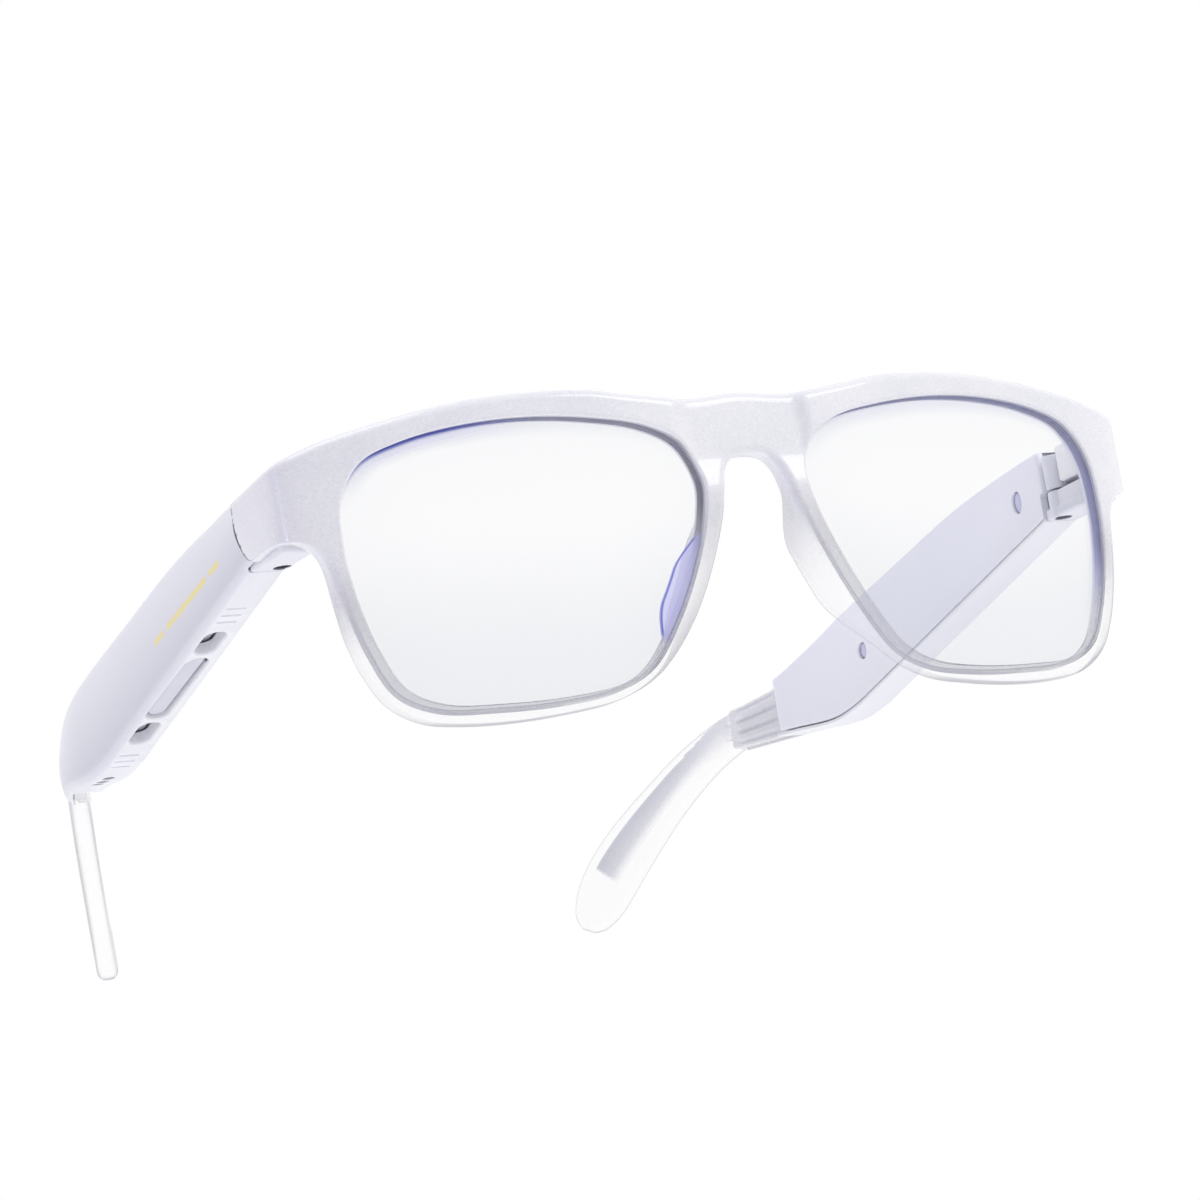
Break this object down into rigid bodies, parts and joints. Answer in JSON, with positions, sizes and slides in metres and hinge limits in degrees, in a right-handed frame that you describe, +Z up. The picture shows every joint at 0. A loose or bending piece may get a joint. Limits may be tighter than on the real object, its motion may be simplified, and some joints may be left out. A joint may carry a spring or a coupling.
{
  "type": "smart glasses",
  "caption": "Smart glasses with square rims, nearly clear lenses and folding temples that hold speakers, a button and charging contacts, with clear curved tips.",
  "frame": {"origin": "centre of the footprint, on the surface that the rims and temple tips rest on", "axes": "+Y from the lenses back along the temples, +Z up, +X towards the wearer's left"},
  "size_m": [0.1438, 0.168, 0.0481],
  "materials": {
    "pearl_front": "pearl white fading to clear over the lower rims",
    "clear_lens": "nearly clear plastic lens with a blue-violet coating",
    "white_shell": "satin white",
    "white_cover": "satin white, slightly cooler",
    "grey_collar": "light grey satin",
    "clear_tip": "clear polished",
    "sensor_window": "smoked lavender",
    "button_cap": "satin light grey",
    "steel": "brushed",
    "contact": "dark plated",
    "board": "solder mask",
    "chip": "moulded",
    "speaker": "pale woven mesh",
    "battery_foil": "foil pouch",
    "flex": "polyimide film"
  },
  "bodies": {
    "front": {"front_frame": "pearl_front", "lens_left": "clear_lens", "hinge_front_leaf_left": "white_shell", "lens_right": "clear_lens", "hinge_front_leaf_right": "white_shell"},
    "left_temple": {"hinge_temple_leaf_left": "white_shell", "hinge_screw_left": "steel", "temple_shell_left": "white_shell", "temple_cover_left": "white_cover", "tip_collar_left": "grey_collar", "temple_tip_left": "clear_tip", "sensor_window_front_left": "sensor_window", "sensor_window_rear_left": "sensor_window", "speaker_front_left": "speaker", "speaker_rear_left": "speaker", "battery_left": "battery_foil", "circuit_board_left": "board", "processor_left": "chip", "flex_cable_left": "flex"},
    "right_temple": {"hinge_temple_leaf_right": "white_shell", "hinge_screw_right": "steel", "temple_shell_right": "white_shell", "temple_cover_right": "white_cover", "tip_collar_right": "grey_collar", "temple_tip_right": "clear_tip", "sensor_window_front_right": "sensor_window", "sensor_window_rear_right": "sensor_window", "button_switch_right": "steel", "button_board_right": "board", "speaker_front_right": "speaker", "speaker_rear_right": "speaker", "battery_right": "battery_foil", "circuit_board_right": "board", "processor_right": "chip", "flex_cable_right": "flex", "contact_block_right": "white_shell", "contact_pin_1_right": "contact", "contact_pin_2_right": "contact", "contact_pin_3_right": "contact"},
    "right_button": {"button_right": "button_cap"}
  },
  "joints": [
    {"name": "left_temple_fold", "type": "hinge", "parent": "front", "child": "left_temple", "pos_m": [0.0664, -0.05916, 0.03419], "axis": [0, -0.0567, 0.9984], "range_deg": [0, 86]},
    {"name": "right_temple_fold", "type": "hinge", "parent": "front", "child": "right_temple", "pos_m": [-0.0664, -0.05916, 0.03419], "axis": [0, 0.0567, -0.9984], "range_deg": [0, 72]},
    {"name": "right_button_press", "type": "slide", "parent": "right_temple", "child": "right_button", "axis": [0, 0.1657, 0.9862], "range_m": [0, 0.0004], "stiffness_N_per_m": 800}
  ]
}
